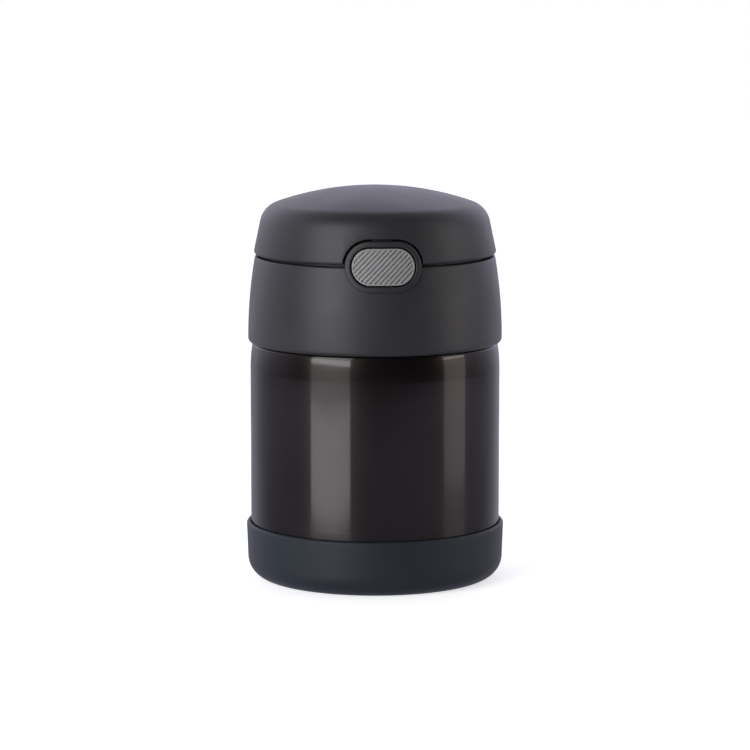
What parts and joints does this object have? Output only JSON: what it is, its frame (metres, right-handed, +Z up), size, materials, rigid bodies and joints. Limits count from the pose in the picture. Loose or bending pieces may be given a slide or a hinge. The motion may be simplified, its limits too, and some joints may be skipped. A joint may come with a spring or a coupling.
{
  "type": "insulated food jar",
  "caption": "Double-walled steel food jar with a moulded boot, a screw-off insulated lid, a push-button hinged dome cover and a folding spoon under it.",
  "frame": {"origin": "on the table, on the jar's axis, at the centre of the boot's underside", "axes": "+Z up along the jar's axis, -Y towards the push button, +Y towards the hinge, +X to the right seen from the button's side"},
  "size_m": [0.091, 0.091, 0.1384],
  "materials": {
    "lacquered_steel": "glossy dark translucent lacquer over brushed steel",
    "bare_steel": "satin stainless steel",
    "spoon_steel": "polished stainless steel",
    "spring_steel": "drawn stainless wire",
    "boot_plastic": "matte soft-touch, slate grey",
    "lid_plastic": "matte charcoal with a fine grain",
    "liner_plastic": "satin dark grey",
    "inner_plastic": "satin grey food-grade plastic",
    "latch_plastic": "satin black",
    "button_plastic": "satin mid grey",
    "silicone": "translucent silicone",
    "foam": "rigid foam"
  },
  "bodies": {
    "jar": {"outer_shell": "lacquered_steel", "neck_thread": "bare_steel", "inner_flask": "bare_steel", "bottom_plate": "bare_steel", "getter_pack": "bare_steel", "vacuum_seal": "bare_steel", "base_boot": "boot_plastic"},
    "lid_seal": {"seal_ring": "silicone"},
    "lid": {"collar": "lid_plastic", "lid_core": "inner_plastic", "core_thread": "inner_plastic", "insulation_core": "foam", "lid_deck": "lid_plastic", "button_bezel": "lid_plastic", "hinge_pin": "spring_steel", "hinge_spring_lid_end": "spring_steel", "button_spring": "spring_steel"},
    "push_button": {"button": "button_plastic", "latch_slider": "latch_plastic"},
    "cover": {"cover_shell": "lid_plastic", "cover_liner": "liner_plastic", "hinge_spring_cover_end": "spring_steel"},
    "spoon": {"spoon_bowl": "spoon_steel", "spoon_handle": "spoon_steel", "spoon_pin": "spring_steel"}
  },
  "joints": [
    {"name": "lid_lift", "type": "slide", "parent": "jar", "child": "lid_seal", "axis": [0, 0, 1], "range_m": [0, 0.0241]},
    {"name": "lid_turn", "type": "hinge", "parent": "lid_seal", "child": "lid", "pos_m": [0, 0, 0.1005], "axis": [0, 0, 1], "range_deg": [0, 1080]},
    {"name": "button_press", "type": "slide", "parent": "lid", "child": "push_button", "axis": [0, 1, 0], "range_m": [0, 0.002], "stiffness_N_per_m": 1200, "springref_m": -0.001, "deforming": ["button_spring"]},
    {"name": "cover_hinge", "type": "hinge", "parent": "lid", "child": "cover", "pos_m": [0, 0.0406, 0.1165], "axis": [-1, 0, 0], "range_deg": [0, 110]},
    {"name": "spoon_lift", "type": "slide", "parent": "lid", "child": "spoon", "axis": [0, 0, 1], "range_m": [0, 0.006]}
  ],
  "couplings": [
    {"joint": "lid_lift", "follows": "lid_turn", "m_per_rad": 0.0012732}
  ]
}
